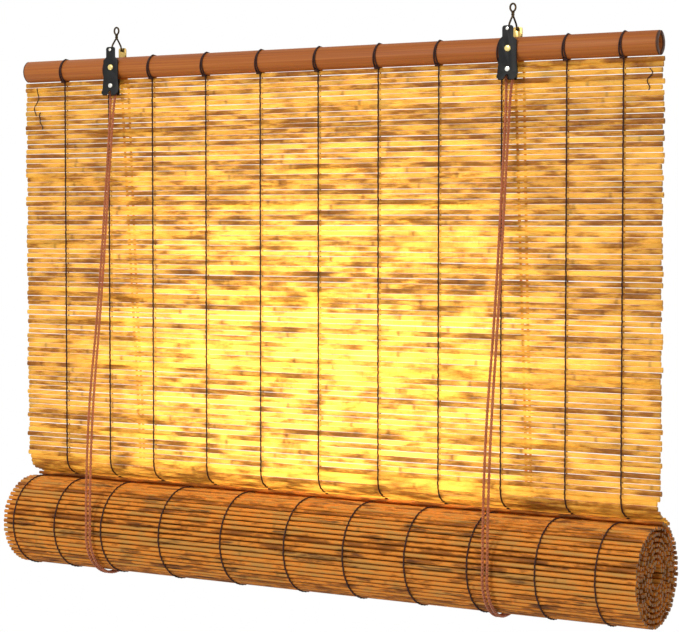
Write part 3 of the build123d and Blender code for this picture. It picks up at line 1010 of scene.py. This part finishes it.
def rear_route(x, turn, hole):
    """Control points of a strand from the back of the roll up to its hole in the rear plate."""
    low_x = x + turn * STRAND_GAP - SLIP
    middle = Vector((x + turn * 3.6 * MM - SLIP / 2, hole.y + SLING_RADIUS * 0.45, (hole.z + ROLL_Z) / 2))
    return [
        Vector((low_x, SLING_RADIUS, ROLL_Z)),
        Vector((low_x, SLING_RADIUS, ROLL_Z + 60 * MM)),
        Vector((x + turn * 3.2 * MM - SLIP, SLING_RADIUS - 6 * MM, ROLL_Z + 170 * MM)),
        middle,
        Vector((x + turn * STRAND_X, hole.y + 5.0 * MM, hole.z - 14 * MM)),
        Vector((x + turn * STRAND_X, hole.y + 4.5 * MM, hole.z)),
        Vector((x + turn * STRAND_X, hole.y - 1 * MM, hole.z)),
    ]


def loop_route(x, pin):
    """Points of the loop over a pulley, with its two ends hanging down."""
    over = []
    for n in range(17):
        angle = pi * n / 16
        over.append(Vector((x - STRAND_X * cos(angle), pin.y, pin.z + STRAND_X * sin(angle))))
    drop = Vector((0, 0, LOOP_DROP))
    return [over[0] - drop, *over, over[-1] - drop]


class SHADE_OT_cords(bpy.types.Operator):
    """Models the braided pull cords: runs in front and behind, loops and slings"""

    bl_idname = "shade.cords"
    bl_label = "Pull cords"

    def execute(self, context):
        lay = context.scene.shade_cords.lay
        finish = cord_finish()
        slings = bmesh.new()
        for side in SIDES:
            x, pin = BRACKET_X[side], PIN[side]
            hole_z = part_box(f"rear_cords_{side}")[1].z - CORD_RADIUS
            hole = Vector((0, RAIL_FACE_Y + 1.3 * MM, hole_z))
            loop, front, rear = bmesh.new(), bmesh.new(), bmesh.new()
            for turn in (-1, 1):
                add_braid(front, smooth_route(front_route(x, turn, pin), ROUTE_STEPS), lay)
                add_braid(slings, sling_route(x, turn), lay)
                add_braid(rear, smooth_route(rear_route(x, turn, hole), ROUTE_STEPS), lay)
                knot = Vector((x + turn * STRAND_X, hole.y - 3.0 * MM, hole.z))
                add_knot(rear, knot, CORD_KNOT, KNOT_THREAD)
            add_braid(loop, loop_route(x, pin), lay, across=Vector((0, 1, 0)))
            node = f"pulley_loop_{side}"
            new_piece(f"{node}_braid", loop, finish, "pull_cord", "headrail", [node])
            runs = (("front_cords", front, pin.z - CORD_DROP), ("rear_cords", rear, hole.z))
            for name, bm, top_z in runs:
                node = f"{name}_{side}"
                cords = new_piece(f"{node}_braid", bm, finish, "pull_cord", "headrail", [node])
                squash_with_lift(cords, top_z, ROLL_Z)
        new_piece("cord_slings_braid", slings, finish, "pull_cord", "cradle", ["cord_slings"])
        return {"FINISHED"}


class SHADE_OT_hangers(bpy.types.Operator):
    """Bends the two wire hangers: an eye, a twisted neck and two sprung legs"""

    bl_idname = "shade.hangers"
    bl_label = "Wire hangers"

    def execute(self, context):
        finish = metal_finish("bronzed_wire", (0.045, 0.03, 0.015), (0.13, 0.085, 0.04), 1.0, 0.3)
        nickel = bpy.data.materials["nickel_rivet"]
        for side in SIDES:
            x, name = BRACKET_X[side], f"hanger_{side}"
            wire = bmesh.new()
            add_tube(wire, hanger_route(x), WIRE_RADIUS, 3)
            new_piece(f"{name}_wire", wire, finish, "bronze_wire", name, [name])
            new_piece(f"{name}_foot_caps", foot_caps(x), nickel, "nickel", name)
        return {"FINISHED"}


def foot_caps(x):
    """The round heads on the two feet of a hanger."""
    caps = bmesh.new()
    for facing in (-1, 1):
        spot = Matrix.Translation((x, facing * (RAIL_FACE_Y + 2.3 * MM), PIVOT_Z))
        bmesh.ops.create_cone(
            caps,
            cap_ends=True,
            segments=20,
            radius1=CAP_RADIUS,
            radius2=CAP_RADIUS,
            depth=CAP_DEPTH,
            matrix=spot @ Matrix.Rotation(pi / 2, 4, "X"),
        )
    rims = [edge for edge in caps.edges if edge.calc_face_angle(0) > 1]
    ease_edges(caps, rims, CAP_EDGE)
    return caps


def hanger_route(x):
    """Middle line of a hanger's wire, from one foot round the eye to the other."""
    eye, neck, span, tab = 4.15 * MM, 5.0 * MM, 9.6 * MM, RAIL_FACE_Y + 0.4 * MM
    leg = [
        Vector((x, tab, PIVOT_Z)),
        Vector((x, span - 2.2 * MM, PIVOT_Z)),
        Vector((x, span, PIVOT_Z)),
        Vector((x, span, PIVOT_Z + 2.2 * MM)),
        Vector((x, span * 0.95, PIVOT_Z + 5.5 * MM)),
        Vector((x, span * 0.35, -eye - neck - 3.2 * MM)),
    ]
    twist = []
    for n in range(9):
        angle = pi / 2 + 2 * pi * n / 8
        height = -eye - neck + neck * n / 8 - 0.6 * MM
        twist.append(Vector((x + 0.95 * MM * cos(angle), 0.95 * MM * sin(angle), height)))
    ring = []
    for n in range(1, 16):
        angle = -pi / 2 + 2 * pi * n / 16
        ring.append(Vector((x + eye * 0.86 * cos(angle), 0, eye * (1.08 * sin(angle) + 0.02))))
    back = [Vector((2 * x - point.x, -point.y, point.z)) for point in reversed(leg + twist)]
    return smooth_route(leg + twist + ring + back, 4)


class SHADE_OT_stage(bpy.types.Operator):
    """Sets up the floor, the lights, the world and the camera"""

    bl_idname = "shade.stage"
    bl_label = "Stage"

    def execute(self, context):
        values = context.scene.shade_stage
        scene = context.scene
        scene.view_settings.view_transform = "Standard"
        bm = bmesh.new()
        bmesh.ops.create_grid(bm, x_segments=1, y_segments=1, size=FLOOR_SIZE)
        bmesh.ops.translate(bm, verts=bm.verts, vec=(0, 0, -values.floor_drop))
        mesh = bpy.data.meshes.new("floor")
        bm.to_mesh(mesh)
        bm.free()
        floor = bpy.data.objects.new("floor", mesh)
        scene.collection.objects.link(floor)
        finish = Finish("pale_floor")
        haze = finish.noise(finish.place((3, 3, 3)), 1.0, 2.0)
        colour = finish.mix(haze, rgb(0.80, 0.80, 0.80), rgb(0.84, 0.84, 0.84))
        pale = finish.show(finish.shader({"Base Color": colour, "Roughness": 0.8}))
        floor.data.materials.append(pale)
        self.add_world(scene)
        self.add_light("key", KEY_PLACE, VIEW_MIDDLE, KEY_SIZE, values.key_power)
        self.add_light("fill", FILL_PLACE, VIEW_MIDDLE, FILL_SIZE, values.fill_power)
        window = self.add_light(
            "window", WINDOW_PLACE, WINDOW_AIM, WINDOW_WIDTH, values.back_power
        )
        window.data.shape = "RECTANGLE"
        window.data.size_y = WINDOW_HEIGHT
        window.visible_camera = False
        window.visible_glossy = False
        self.add_camera(scene, values.lens)
        return {"FINISHED"}

    @staticmethod
    def add_world(scene):
        world = bpy.data.worlds.new("pale_room")
        world.use_nodes = True
        nodes, links = world.node_tree.nodes, world.node_tree.links
        nodes.clear()
        rays = nodes.new("ShaderNodeLightPath")
        seen = nodes.new("ShaderNodeMath")
        seen.operation = "MAXIMUM"
        links.new(rays.outputs["Is Camera Ray"], seen.inputs[0])
        links.new(rays.outputs["Is Glossy Ray"], seen.inputs[1])
        more = nodes.new("ShaderNodeMath")
        more.operation = "MAXIMUM"
        links.new(seen.outputs[0], more.inputs[0])
        links.new(rays.outputs["Is Transmission Ray"], more.inputs[1])
        strength = nodes.new("ShaderNodeMapRange")
        strength.inputs["To Min"].default_value = WORLD_LIGHT
        strength.inputs["To Max"].default_value = 1.0
        links.new(more.outputs[0], strength.inputs["Value"])
        background = nodes.new("ShaderNodeBackground")
        background.inputs["Color"].default_value = rgb(1.0, 1.0, 1.0)
        links.new(strength.outputs["Result"], background.inputs["Strength"])
        output = nodes.new("ShaderNodeOutputWorld")
        links.new(background.outputs["Background"], output.inputs["Surface"])
        scene.world = world

    @staticmethod
    def add_light(name, place, aim, size, power):
        data = bpy.data.lights.new(name, "AREA")
        data.size = size
        data.energy = power
        lamp = bpy.data.objects.new(name, data)
        lamp.location = place
        lamp.rotation_euler = (aim - place).to_track_quat("-Z", "Y").to_euler()
        bpy.context.scene.collection.objects.link(lamp)
        return lamp

    @staticmethod
    def add_camera(scene, lens):
        data = bpy.data.cameras.new("camera")
        data.lens = lens
        data.sensor_width = 36.0
        camera = bpy.data.objects.new("camera", data)
        camera.location = CAMERA_PLACE
        camera.rotation_euler = (CAMERA_AIM - CAMERA_PLACE).to_track_quat("-Z", "Y").to_euler()
        scene.collection.objects.link(camera)
        scene.camera = camera


class SHADE_PT_panel(bpy.types.Panel):
    """Lists the shade's settings and operators"""

    bl_idname = "SHADE_PT_panel"
    bl_label = "Reed shade"
    bl_space_type = "VIEW_3D"
    bl_region_type = "UI"
    bl_category = "Shade"

    def draw(self, context):
        for group in SETTINGS:
            values = getattr(context.scene, group)
            for name in values.bl_rna.properties.keys():
                if name not in ("rna_type", "name"):
                    self.layout.prop(values, name)
        for operator in OPERATORS:
            self.layout.operator(operator.bl_idname)


SETTINGS = {"shade_reeds": ReedSettings, "shade_cords": CordSettings, "shade_stage": StageSettings}
OPERATORS = (
    SHADE_OT_stage,
    SHADE_OT_mat,
    SHADE_OT_roll,
    SHADE_OT_twines,
    SHADE_OT_rail,
    SHADE_OT_brackets,
    SHADE_OT_cords,
    SHADE_OT_hangers,
)


def register():
    for kind in (*SETTINGS.values(), *OPERATORS, SHADE_PT_panel):
        bpy.utils.register_class(kind)
    for name, group in SETTINGS.items():
        setattr(bpy.types.Scene, name, bpy.props.PointerProperty(type=group))


def unregister():
    for name in SETTINGS:
        delattr(bpy.types.Scene, name)
    for kind in (SHADE_PT_panel, *reversed(OPERATORS), *SETTINGS.values()):
        bpy.utils.unregister_class(kind)


def main():
    register()
    bpy.ops.shade.stage()
    bpy.ops.shade.mat()
    bpy.ops.shade.roll()
    bpy.ops.shade.twines()
    bpy.ops.shade.rail()
    bpy.ops.shade.brackets()
    bpy.ops.shade.cords()
    bpy.ops.shade.hangers()


if __name__ == "__main__":
    main()
